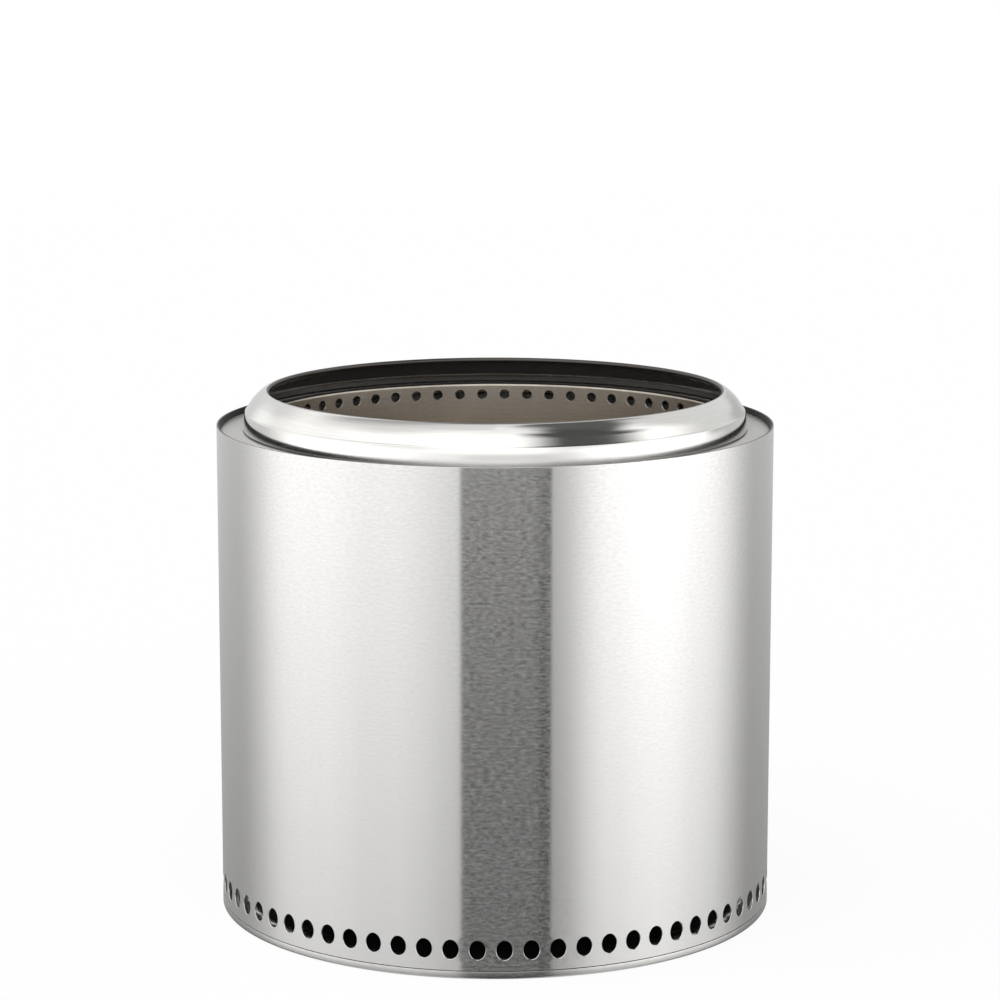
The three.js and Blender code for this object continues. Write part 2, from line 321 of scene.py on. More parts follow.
def turned_solid(corners: Sequence[Corner], steps: int = SMALL_TURN_STEPS) -> BMesh:
    """Turns a solid from a path that starts and ends on the axis.

    Args:
        corners: its outline, radius by height.
        steps: steps of the turn.

    Returns:
        The closed solid.
    """
    mesh = bent_path(corners)
    turn_round(mesh, steps)
    bmesh.ops.recalc_face_normals(mesh, faces=mesh.faces)
    return mesh


def folded_strip(corners: Sequence[Corner], sheet: float, width: float) -> BMesh:
    """Folds a straight strip of sheet. Its metal lies to the right of the path.

    Args:
        corners: its path, reach along X by height.
        sheet: the metal's thickness.
        width: the strip's width along Y.

    Returns:
        The closed strip, centred on the XZ plane.
    """
    mesh = bent_path(corners)
    bmesh.ops.translate(mesh, verts=mesh.verts, vec=(0, -width / 2, 0))
    far_side, _ = draw_edges(mesh, mesh.edges[:])
    bmesh.ops.translate(mesh, verts=far_side, vec=(0, width, 0))
    return thicken(mesh, corners, sheet)


def draw_out(mesh: BMesh, ring: list[BMEdge], points: Sequence[tuple[float, float]]) -> None:
    """Draws a ring of edges on through other radii and heights.

    Args:
        mesh: the sheet that the ring bounds.
        ring: the ring's edges.
        points: radius and height of each next ring.
    """
    for radius, height in points:
        verts, ring = draw_edges(mesh, ring)
        for vert in verts:
            flat = vert.co.xy * (radius / vert.co.xy.length)
            vert.co = (flat.x, flat.y, height)


@dataclass(frozen=True)
class HoleRow:
    """A row of oval holes punched round a wall, each in a panel with a margin above and below.

    First is the first hole's angle. Columns and rows are the faces along a panel's sides.
    """

    count: int
    width: float
    height: float
    centre: float
    margin: float
    first: float = 0.0
    columns: int = 8
    rows: int = 4

    def band(self, radius: float) -> BMesh:
        """Makes the strip of wall that holds the row: one panel, bent round and repeated.

        Args:
            radius: the wall's radius.

        Returns:
            The open strip.
        """
        mesh = bmesh.new()
        step = FULL_TURN / self.count
        panel = Matrix.Diagonal((step * radius, self.height + 2 * self.margin, 1, 1))
        bmesh.ops.create_grid(
            mesh, x_segments=self.columns, y_segments=self.rows, size=0.5, matrix=panel,
        )
        bmesh.ops.delete(mesh, geom=[v for v in mesh.verts if not v.is_boundary], context="VERTS")
        hole = Matrix.Diagonal((self.width, self.height, 1, 1))
        sides = 2 * (self.columns + self.rows)
        bmesh.ops.create_circle(mesh, segments=sides, radius=0.5, matrix=hole)
        bmesh.ops.bridge_loops(mesh, edges=mesh.edges[:])
        for vert in mesh.verts:
            turn = vert.co.x / radius
            vert.co = (radius * math.sin(turn), -radius * math.cos(turn), self.centre + vert.co.y)
        bmesh.ops.spin(
            mesh, geom=mesh.verts[:] + mesh.edges[:] + mesh.faces[:], axis=UP, cent=(0, 0, 0),
            angle=step * (self.count - 1), steps=self.count - 1, use_duplicate=True,
        )
        swing(mesh, self.first)
        bmesh.ops.remove_doubles(mesh, verts=mesh.verts, dist=WELD_DISTANCE)
        return mesh

    def edge_ring(self, mesh: BMesh, side: int) -> list[BMEdge]:
        """Finds the strip's upper edges, for a side of 1, or its lower ones, for -1."""
        level = self.centre + side * (self.height / 2 + self.margin)
        return [e for e in mesh.edges if all(abs(v.co.z - level) < WELD_DISTANCE for v in e.verts)]


def punched_sheet(
    row: HoleRow, radius: float, up: Sequence[Corner], down: Sequence[Corner],
    sheet: float, facing: int,
) -> BMesh:
    """Makes a round wall with a row of holes, drawn on above and below the row.

    Args:
        row: the holes.
        radius: the radius of the wall's face.
        up: the path from above the row to the wall's upper end.
        down: the path from below the row to its lower end.
        sheet: the metal's thickness, behind the face.
        facing: 1 where the face looks outwards, -1 where it looks inwards.

    Returns:
        The closed wall.
    """
    mesh = row.band(radius)
    draw_out(mesh, row.edge_ring(mesh, 1), stations(up))
    draw_out(mesh, row.edge_ring(mesh, -1), stations(down))
    close_seams(mesh)
    above = Vector((radius, 0, row.centre + row.height / 2 + row.margin / 2))
    face_way(mesh, above, Vector((facing, 0, 0)))
    bmesh.ops.solidify(mesh, geom=mesh.faces[:], thickness=sheet)
    return mesh


def ease_edges(mesh: BMesh, width: float, steps: int = 1) -> None:
    """Takes the sharpness off a sheet's cut edges.

    Args:
        mesh: the closed sheet.
        width: the rounding's width.
        steps: its segments.
    """
    sharp = [e for e in mesh.edges if e.calc_face_angle(0.0) > CUT_ANGLE]
    bmesh.ops.bevel(
        mesh, geom=sharp, offset=width, offset_type="OFFSET", segments=steps, profile=0.5,
        affect="EDGES", material=-1,
    )


def make_piece(mesh: BMesh, name: str, node: str, body: str, material: Material) -> Object:
    """Turns a mesh into a dressed piece that stands for a CAD node and rides on its body.

    Args:
        mesh: the finished mesh, which is freed.
        name: the piece's name.
        node: the CAD node that it stands for.
        body: the CAD body that it rides on.
        material: its finish.

    Returns:
        The piece.
    """
    for face in mesh.faces:
        face.smooth = True
    for edge in mesh.edges:
        edge.smooth = edge.calc_face_angle(0.0) < SHARP_ANGLE
    data = bpy.data.meshes.new(name)
    mesh.to_mesh(data)
    mesh.free()
    data.materials.append(material)
    piece = bpy.data.objects.new(name, data)
    bpy.context.scene.collection.objects.link(piece)
    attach(piece, body)
    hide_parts(node)
    data.calc_loop_triangles()
    log.info("%s: %d triangles, for %s on %s", name, len(data.loop_triangles), node, body)
    return piece


# Finishes


@dataclass(frozen=True)
class SurfacePlace:
    """Where a surface is: its angle from the front, its distance from the axis and its height."""

    turn: NodeSocket
    radius: NodeSocket
    height: NodeSocket

    @classmethod
    def read(cls, tree: NodeTree) -> "SurfacePlace":
        """Works the place out from the piece's own coordinates.

        Args:
            tree: the node tree.

        Returns:
            The place, in radians and metres.
        """
        x, y, z = add(tree, "SeparateXYZ", {0: add(tree, "TexCoord").outputs["Object"]}).outputs
        squares = maths(tree, "MULTIPLY_ADD", x, x, maths(tree, "MULTIPLY", y, y))
        return cls(angle_from_front(tree, x, y), maths(tree, "SQRT", squares), z)


class Grain(Enum):
    """Which way a finish's brush lines run."""

    ROUND = "round the axis"
    STRAIGHT = "along X"

    def space(self, tree: NodeTree) -> NodeSocket:
        """Lays the surface out with its brush lines along the first coordinate, in metres.

        Args:
            tree: the node tree.

        Returns:
            The coordinates' socket.
        """
        if self is Grain.STRAIGHT:
            return add(tree, "TexCoord").outputs["Object"]
        place = SurfacePlace.read(tree)
        arc = maths(tree, "MULTIPLY", place.turn, DRUM_RADIUS)
        return add(tree, "CombineXYZ", {0: arc, 1: place.radius, 2: place.height}).outputs[0]


@dataclass(frozen=True)
class Streak:
    """One size of brush mark: its length and width, its fineness, and how much it shows."""

    length: float
    width: float
    detail: float
    share: float

    def noise(self, tree: NodeTree, space: NodeSocket) -> NodeSocket:
        """Draws the marks.

        Args:
            tree: the node tree.
            space: where the pattern is drawn.

        Returns:
            The pattern's socket, centred on 0 and as strong as its share.
        """
        scale = (1 / self.length, 1 / self.width, 1 / self.width)
        scaled = add(tree, "VectorMath", {0: space, 1: scale}, operation="MULTIPLY").outputs[0]
        marks = add(tree, "TexNoise", {
            "Vector": scaled, "Scale": 1.0, "Detail": self.detail, "Roughness": MARK_ROUGHNESS,
        }).outputs[0]
        return maths(tree, "MULTIPLY", maths(tree, "SUBTRACT", marks, 0.5), 2 * self.share)


# Where the front fades out, on its left and on its right, and where the weld's band fades in
FRONT_LEFT = (math.radians(-46), math.radians(-2))
FRONT_RIGHT = (math.radians(12), math.radians(75))
WELD_FADE = (math.pi - 1.9 * MM / DRUM_RADIUS, math.pi - 1.4 * MM / DRUM_RADIUS)


class Zone(Enum):
    """Where round the pit a stain or painted shade lies. The front ends softly between two angles on
    either side.
    """

    ALL = "all round"
    SIDES = "at the sides and the back"
    FRONT = "at the front"
    WELD = "along the weld at the back"

    def limit(self, tree: NodeTree, turn: NodeSocket, share: object) -> object:
        """Takes a stain's or painted shade's share away outside the zone, fading softly at its ends.

        Args:
            tree: the node tree.
            turn: the angle from the front.
            share: the stain's or painted shade's share.

        Returns:
            The share inside the zone.
        """
        if self is Zone.ALL:
            return share
        if self is Zone.WELD:
            seam = ramp(tree, maths(tree, "ABSOLUTE", turn), *WELD_FADE)
            return maths(tree, "MULTIPLY", share, seam)
        left = ramp(tree, turn, FRONT_LEFT[0], FRONT_LEFT[1], 1.0, 0.0)
        right = ramp(tree, turn, FRONT_RIGHT[0], FRONT_RIGHT[1])
        sides = maths(tree, "ADD", left, right)
        if self is Zone.FRONT:
            sides = maths(tree, "SUBTRACT", 1.0, sides)
        return maths(tree, "MULTIPLY", share, sides)


@dataclass(frozen=True)
class Tint:
    """A stain, a dull patch or painted shade, between two heights and two radii.

    A low end of -1 m and a high end of 1 m stand for no limit.
    """

    color: str
    strength: float
    roughness: float
    heights: tuple[float, float] = (-1.0, 1.0)
    fade: float = 0.2 * MM
    radii: tuple[float, float] = (-1.0, 1.0)
    radius_fade: float = 0.2 * MM
    zone: Zone = Zone.ALL

    def share(self, tree: NodeTree, place: SurfacePlace) -> NodeSocket:
        """Works out how much of the stain or painted shade lies at a place.

        Args:
            tree: the node tree.
            place: where the surface is.

        Returns:
            The stain's or painted shade's share, from 0 to its strength.
        """
        share: object = self.strength
        for value, (low, high), fade in (
            (place.height, self.heights, self.fade),
            (place.radius, self.radii, self.radius_fade),
        ):
            if low > -1.0:
                rises = ramp(tree, value, low - fade / 2, low + fade / 2)
                share = maths(tree, "MULTIPLY", share, rises)
            if high < 1.0:
                falls = ramp(tree, value, high - fade / 2, high + fade / 2, 1.0, 0.0)
                share = maths(tree, "MULTIPLY", share, falls)
        return self.zone.limit(tree, place.turn, share)


@dataclass(frozen=True)
class SteelFinish:
    """A stainless steel surface: its colour, gloss, brush marks, and its stains and painted shade.

    A swing is how far the marks move a value. Clouds shade the steel over a longer reach, and
    unevenness is how far they shift the height of a stain or painted shade. Scatter is the share
    that looks like paint.
    """

    label: str
    pale: str
    deep: str
    roughness: float
    roughness_swing: float
    anisotropy: float
    grain: Grain
    streaks: tuple[Streak, ...]
    relief: float
    cloud: float = 60 * MM
    cloud_share: float = 0.25
    unevenness: float = 0.0
    scatter: float = 0.02
    scatter_swing: float = 0.05
    tints: tuple[Tint, ...] = ()

    def material(self) -> Material:
        """Builds the finish.

        Returns:
            The material.
        """
        made = bpy.data.materials.new(self.label)
        tree = empty_tree(made)
        space = self.grain.space(tree)
        marks = self.streaks[0].noise(tree, space)
        for streak in self.streaks[1:]:
            marks = maths(tree, "ADD", marks, streak.noise(tree, space))
        place = add(tree, "TexCoord").outputs["Object"]
        clouds = Streak(self.cloud, self.cloud, 3.0, self.cloud_share).noise(tree, place)
        share = maths(tree, "ADD", maths(tree, "ADD", marks, clouds), 0.5)
        shade = add(tree, "Clamp", {0: share}).outputs[0]
        color = blend_color(tree, shade, linear(self.pale), linear(self.deep))
        spot = SurfacePlace.read(tree)
        uneven = maths(tree, "MULTIPLY_ADD", clouds, self.unevenness, spot.height)
        spot = SurfacePlace(spot.turn, spot.radius, uneven)
        gloss = maths(tree, "MULTIPLY_ADD", marks, self.roughness_swing, self.roughness)
        metal = maths(tree, "MULTIPLY_ADD", marks, -self.scatter_swing, 1.0 - self.scatter)
        for tint in self.tints:
            stain_or_shade = tint.share(tree, spot)
            color = blend_color(tree, stain_or_shade, color, linear(tint.color))
            gloss = add(tree, "Mix", {0: stain_or_shade, 2: gloss, 3: tint.roughness}).outputs[0]
        relief = {"Strength": 1.0, "Distance": self.relief, "Height": marks}
        inputs = {
            "Base Color": color,
            "Metallic": add(tree, "Clamp", {0: metal}).outputs[0],
            "Roughness": add(tree, "Clamp", {0: gloss, 1: SMOOTHEST, 2: ROUGHEST}).outputs[0],
            "Normal": add(tree, "Bump", relief).outputs[0],
        }
        if self.anisotropy > 0:
            inputs |= {
                "Anisotropic": self.anisotropy,
                "Anisotropic Rotation": ACROSS_BRUSH,
                "Tangent": add(tree, "Tangent", direction_type="RADIAL", axis="Z").outputs[0],
            }
        shader = add(tree, "BsdfPrincipled", inputs)
        add(tree, "OutputMaterial", {0: shader.outputs[0]})
        return made


# Rolled stainless sheet, brushed round the drum: the lines smear a highlight up and down, not
# sideways. Real brush lines are about 0.05 mm wide, so they are drawn ten times as coarse to show.
# The side that looks inwards is painted almost black as shade: inside the jacket below the lip
# all round, and on the lip's inner face at the sides and the back, with the front left bright.
# The lip's top is painted dark grey all round, as painted shade. The weld at the back is ground
# smooth, which leaves it duller.
DRUM_STEEL = SteelFinish(
    "brushed_stainless_sheet", "#E1E0DE", "#D9D8D6",
    roughness=0.15, roughness_swing=0.10, anisotropy=1.0, grain=Grain.ROUND, relief=0.0015 * MM,
    streaks=(Streak(60 * MM, 0.6 * MM, 2.0, 0.16), Streak(4 * MM, 1.5 * MM, 4.0, 0.9)),
    scatter=0.06,
    scatter_swing=0.13,
    tints=(
        # Painted shade: the sheet's inner side below the lip almost black, as shade inside the
        # jacket
        Tint("#131211", 0.97, 0.85, (-1.0, 331 * MM), radii=(-1.0, 189.7 * MM)),
        # Painted shade: the lip's inner face almost black at the sides and the back, left bright at
        # the front
        Tint("#131211", 0.97, 0.85, (331 * MM, 1.0), radii=(-1.0, 189.3 * MM), zone=Zone.SIDES),
        # Painted shade: the lip's top and its bends dark grey all round
        Tint("#2B2927", 0.8, 0.5, (335.7 * MM, 1.0), radii=(-1.0, 190.3 * MM)),
        Tint("#A9A7A4", 0.55, 0.28, radii=(190 * MM, 1.0), zone=Zone.WELD),
    ),
)

# Spun and satin-polished stainless: nearly a mirror, with faint turning lines. Its bead round the
# mouth is painted dark brown, a painted reflection of the dark chamber, and a dark line painted
# along its foot at the sides and the back is a painted contact shadow where it stands on the deck.
# Its skirt is worn dull in front.
RING_STEEL = SteelFinish(
    "satin_polished_stainless", "#E8E7E4", "#DAD9D6",
    roughness=0.1, roughness_swing=0.04, anisotropy=0.5, grain=Grain.ROUND, relief=0.0015 * MM,
    streaks=(Streak(90 * MM, 0.5 * MM, 2.0, 0.4), Streak(12 * MM, 1.5 * MM, 2.0, 0.3)),
    tints=(
        # Painted reflection: the bead's inner half round the mouth dark brown, as if mirroring the
        # dark chamber
        Tint("#2A241E", 0.9, 0.4, radii=(-1.0, 156.2 * MM)),
        Tint("#D6D5D3", 1.0, 0.22, (-1.0, 341.5 * MM), 2 * MM, zone=Zone.FRONT),
        # Painted contact shadow: a dark line along the skirt's foot at the sides and the back, at
        # the deck
        Tint("#1B1918", 0.85, 0.6, (-1.0, 333.3 * MM), 0.4 * MM, zone=Zone.SIDES),
    ),
)

# Pressed and finely brushed stainless of the sunk deck, a little duller than the ring.
DECK_STEEL = SteelFinish(
    "fine_brushed_stainless", "#D9D8D5", "#C9C8C5",
    roughness=0.34, roughness_swing=0.06, anisotropy=0.5, grain=Grain.ROUND, relief=0.003 * MM,
    streaks=(Streak(60 * MM, 0.6 * MM, 2.0, 0.5), Streak(6 * MM, 1.2 * MM, 2.0, 0.4)),
    scatter=0.35,
)

# Brushed stainless of the base, even underneath. Above its plate, the base's inner side and the
# brackets, the shield and the standoffs are painted almost black: painted shade inside the jacket.
BASE_STEEL = SteelFinish(
    "brushed_stainless_base", "#DCDBD9", "#C6C5C2",
    roughness=0.22, roughness_swing=0.10, anisotropy=0.8, grain=Grain.ROUND, relief=0.004 * MM,
    streaks=(Streak(60 * MM, 0.8 * MM, 2.0, 0.4), Streak(5 * MM, 1.2 * MM, 2.0, 0.6)),
    # Painted shade: almost black above the plate, inside the jacket behind the vents
    tints=(Tint("#171615", 0.95, 0.55, (8.5 * MM, 1.0), radii=(-1.0, 189.2 * MM)),),
)

# Brushed stainless of the burn chamber: straw and bronze from heat, soot towards the grate, and
# painted shade, almost black, on its outer side inside the jacket.
CHAMBER_STEEL = SteelFinish(
    "heat_tinted_and_shade_painted_stainless", "#CFC9BF", "#AFA598",
    roughness=0.33, roughness_swing=0.12, anisotropy=0.6, grain=Grain.ROUND, relief=0.005 * MM,
    streaks=(Streak(60 * MM, 0.8 * MM, 2.0, 0.5), Streak(7 * MM, 1.4 * MM, 3.0, 0.6)),
    cloud_share=0.5,
    unevenness=0.06,
    tints=(
        Tint("#C7A877", 0.5, 0.35, (215 * MM, 300 * MM), 70 * MM),
        Tint("#8A6A4C", 0.6, 0.4, (120 * MM, 225 * MM), 80 * MM),
        Tint("#3A3531", 0.9, 0.55, (-1.0, 120 * MM), 90 * MM),
        # Painted shade: the outer side, inside the jacket, almost black
        Tint("#151413", 0.96, 0.6, radii=(162.4 * MM, 1.0)),
    ),
)

# Dull pressed stainless of the ash pan, greyed by ash.
PAN_STEEL = SteelFinish(
    "ash_dulled_stainless", "#B9B6B0", "#8F8B85",
    roughness=0.42, roughness_swing=0.14, anisotropy=0.0, grain=Grain.STRAIGHT, relief=0.01 * MM,
    streaks=(Streak(30 * MM, 1.2 * MM, 3.0, 0.4), Streak(4 * MM, 3 * MM, 3.0, 0.5)),
    cloud=35 * MM, cloud_share=0.6,
)

# Thick stainless plate of the grate, browned and sooted by fire.
GRATE_STEEL = SteelFinish(
    "fire_darkened_steel_plate", "#8E8880", "#4E4945",
    roughness=0.5, roughness_swing=0.16, anisotropy=0.0, grain=Grain.STRAIGHT, relief=0.03 * MM,
    streaks=(Streak(18 * MM, 6 * MM, 4.0, 0.5), Streak(2.5 * MM, 2 * MM, 3.0, 0.5)),
    cloud=45 * MM, cloud_share=0.9,
)

# Bright drawn stainless wire and rivets, without a visible grain.
WIRE_STEEL = SteelFinish(
    "bright_stainless_wire", "#D8D7D4", "#C0BFBC",
    roughness=0.24, roughness_swing=0.08, anisotropy=0.0, grain=Grain.STRAIGHT, relief=0.003 * MM,
    streaks=(Streak(6 * MM, 0.8 * MM, 2.0, 0.4),),
)


# Studio


@dataclass(frozen=True)
class StudioCard:
    """A panel of the studio, seen in the steel: where it is, how soft its edges are, and its level.

    Azimuths run from the front (-Y) towards +X, and angles are degrees. Each edge is (from, to).
    """

    azimuths: tuple[float, float]
    azimuth_edges: tuple[float, float]
    heights: tuple[float, float]
    height_edges: tuple[float, float]
    level: float


@dataclass
class Studio:
    """A pale floor, a soft studio all round, and the camera at the photograph's angle.

    Horizon, depth and underfoot shade the sky's lower part: from an angle, to an angle, from, to.
    """

    camera_back: float = 2249.8 * MM
    camera_up: float = 683.9 * MM
    camera_pitch: float = math.radians(10.15)
    focal_length: float = 119.52
    side_shift: float = 0.0049
    sensor_width: float = 36.0
    floor_half: float = 6.0
    floor_drop: float = 0.2 * MM
    floor_glow: float = 0.88
    base_level: float = 0.44
    horizon: tuple[float, float, float, float] = (-12.5, -9.0, 0.93, 1.0)
    depth: tuple[float, float, float, float] = (-26.0, -2.0, 0.35, 1.5)
    underfoot: tuple[float, float, float, float] = (-64.0, -34.0, 2.1, 1.0)
    cards: tuple[StudioCard, ...] = (
        # All the way up: dim at the left rear, bright on both sides of the front
        StudioCard((-220, -128), (1, 16), (-200, 200), (1, 1), 0.48),
        StudioCard((-112, -16), (46, 58), (-200, 200), (1, 1), 1.1),
        StudioCard((-98, -62), (30, 24), (-200, 200), (1, 1), 1.22),
        StudioCard((34, 112), (26, 44), (-200, 200), (1, 1), 1.24),
        StudioCard((55, 84), (26, 22), (-200, 200), (1, 1), 1.46),
        # Over the horizon, for the ring and the deck: an even sky with softer panels in it
        StudioCard((-400, 400), (1, 1), (10, 200), (14, 1), 0.55),
        StudioCard((-136, 112), (44, 24), (20, 200), (10, 1), 0.95),
        StudioCard((-150, -100), (20, 20), (6, 30), (10, 14), 0.78),
        StudioCard((-178, -132), (8, 26), (20, 44), (10, 10), 0.56),
        StudioCard((-170, -95), (20, 40), (34, 62), (14, 16), 0.78),
        StudioCard((114, 168), (14, 20), (0, 11), (6, 8), 0.36),
        StudioCard((-30, 30), (30, 30), (-2, 60), (6, 20), 0.95),
        StudioCard((-400, 400), (1, 1), (80, 200), (14, 1), 0.75),
        # Dark flags high up, for the dark patch and the crease of the ring
        StudioCard((-400, -75), (1, 60), (52, 200), (20, 1), 0.58),
        StudioCard((-400, -125), (1, 40), (46, 70), (16, 16), 0.3),
        StudioCard((-400, -171), (1, 10), (16, 58), (6, 20), 0.1),
        StudioCard((171, 400), (10, 1), (16, 58), (6, 20), 0.1),
        StudioCard((72, 158), (24, 16), (57, 80), (8, 12), 0.07),
        StudioCard((140, 160), (12, 14), (50, 76), (8, 12), 0.07),
        StudioCard((30, 96), (32, 22), (45, 77), (9, 12), 0.045),
        # The dark strip down the drum's front, darkest on its right
        StudioCard((-13.9, 22.7), (1.6, 0.6), (-200, -2), (1, 6), 0.08),
        StudioCard((17.5, 22.7), (6, 0.6), (-200, -2), (1, 6), 0.01),
    )

    def light(self) -> None:
        """Draws the studio on the sky that the steel sees. The camera sees plain white."""
        world = bpy.data.worlds.new("studio")
        bpy.context.scene.world = world
        tree = empty_tree(world)
        way = add(tree, "TexCoord").outputs["Generated"]
        x, y, z = add(tree, "SeparateXYZ", {0: way}).outputs
        azimuth = maths(tree, "DEGREES", angle_from_front(tree, x, y))
        height = maths(tree, "DEGREES", maths(tree, "ARCSINE", z))
        level: object = self.base_level
        for card in self.cards:
            mask = None
            for value, ends, edges in (
                (azimuth, card.azimuths, card.azimuth_edges),
                (height, card.heights, card.height_edges),
            ):
                rises = ramp(tree, value, ends[0] - edges[0] / 2, ends[0] + edges[0] / 2)
                falls = ramp(tree, value, ends[1] - edges[1] / 2, ends[1] + edges[1] / 2, 1.0, 0.0)
                part = maths(tree, "MULTIPLY", rises, falls)
                mask = part if mask is None else maths(tree, "MULTIPLY", mask, part)
            level = add(tree, "Mix", {0: mask, 2: level, 3: card.level}).outputs[0]
        lower = ramp(tree, height, *self.horizon)
        dimming = maths(tree, "MULTIPLY", lower, ramp(tree, height, *self.depth))
        dimming = maths(tree, "MULTIPLY", dimming, ramp(tree, height, *self.underfoot))
        strength = maths(tree, "MULTIPLY", level, dimming)
        studio = add(tree, "Background", {0: WHITE, 1: strength})
        white = add(tree, "Background", {0: WHITE, 1: 1.0})
        seen = add(tree, "LightPath").outputs["Is Camera Ray"]
        mix = add(tree, "MixShader", {0: seen, 1: studio.outputs[0], 2: white.outputs[0]})
        add(tree, "OutputWorld", {0: mix.outputs[0]})
        log.info("studio: %d cards", len(self.cards))

    def floor(self) -> None:
        """Lays the floor: white to the camera, with the pit's soft shadow, and clear from below."""
        mesh = bmesh.new()
        bmesh.ops.create_grid(mesh, x_segments=8, y_segments=8, size=self.floor_half)
        data = bpy.data.meshes.new("floor")
        mesh.to_mesh(data)
        mesh.free()
        made = bpy.data.materials.new("white_paper_sweep")
        tree = empty_tree(made)
        paper = add(tree, "BsdfDiffuse", {0: WHITE})
        glow = add(tree, "Emission", {0: WHITE, 1: 1.0})
        seen = add(tree, "LightPath").outputs["Is Camera Ray"]
        share = maths(tree, "MULTIPLY", seen, self.floor_glow)
        mix = add(tree, "MixShader", {0: share, 1: paper.outputs[0], 2: glow.outputs[0]})
        clear = add(tree, "BsdfTransparent")
        below = add(tree, "NewGeometry").outputs["Backfacing"]
        mix = add(tree, "MixShader", {0: below, 1: mix.outputs[0], 2: clear.outputs[0]})
        add(tree, "OutputMaterial", {0: mix.outputs[0]})
        data.materials.append(made)
        floor = bpy.data.objects.new("floor", data)
        bpy.context.scene.collection.objects.link(floor)
        floor.location.z = -self.floor_drop
        floor.visible_glossy = False
        floor.visible_shadow = False

    def camera(self) -> None:
        """Sets the camera where the photograph was taken from."""
        data = bpy.data.cameras.new("camera")
        data.sensor_width = self.sensor_width
        data.lens = self.focal_length
        data.shift_x = self.side_shift
        camera = bpy.data.objects.new("camera", data)
        camera.location = (0.0, -self.camera_back, self.camera_up)
        camera.rotation_euler = (math.pi / 2 - self.camera_pitch, 0.0, 0.0)
        bpy.context.scene.collection.objects.link(camera)
        bpy.context.scene.camera = camera


# The pit's sub-assemblies


def round_reach(node: str) -> float:
    """Measures the outer radius of a round CAD node, in metres."""
    low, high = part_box(node)
    return max(high.x, high.y, -low.x, -low.y)


@dataclass
class Drum:
    """The rolled outer wall, with its folded lip, its row of vents and its weld at the back."""

    sheet: float = 0.94 * MM
    lip_width: float = 1.9 * MM
    lip_edge: float = 0.2 * MM
    lip_bend: float = 0.96 * MM
    flap_slope: float = 1.0 * MM
    flap_overlap: float = 0.4 * MM
    joint: float = 0.05 * MM
    weld_height: float = 0.08 * MM
    weld_half: float = 1.2 * MM
    weld_depth: float = 0.1 * MM
    fold_drop: float = 3 * MM
    foot_start: float = 9 * MM
    vents: HoleRow = HoleRow(
        count=68, width=10.8 * MM, height=13.1 * MM, centre=19.5 * MM, margin=2.6 * MM,
        first=math.radians(1.84),
    )

    def build(self) -> None:
        """Makes the wall and dresses it."""
        low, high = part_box("outer_wall")
        radius = round_reach("outer_wall") - self.weld_height
        flap_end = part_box("flame_ring")[0].z + self.flap_overlap
        up = [
            Corner(radius, high.z - self.fold_drop),
            Corner(radius, high.z - 2 * self.lip_edge),
            Corner(radius, high.z, self.lip_edge),
            Corner(radius - self.lip_width, high.z, self.lip_bend),
            Corner(radius - self.lip_width - self.flap_slope, flap_end),
        ]
        down = [Corner(radius, self.foot_start), Corner(radius, low.z + self.joint)]
        mesh = punched_sheet(self.vents, radius, up, down, self.sheet, 1)
        ease_edges(mesh, THIN_EDGE)
        self.raise_weld(mesh, radius)
        make_piece(mesh, "drum_wall", "outer_wall", "drum", DRUM_STEEL.material())

    def raise_weld(self, mesh: BMesh, radius: float) -> None:
        """Raises the ground-down weld where the rolled sheet's ends meet.

        Args:
            mesh: the wall.
            radius: its outer radius.
        """
        for vert in mesh.verts:
            outside = vert.co.xy.length > radius - self.weld_depth
            if outside and vert.co.y > 0 and abs(vert.co.x) < self.weld_half:
                vert.co.y += self.weld_height


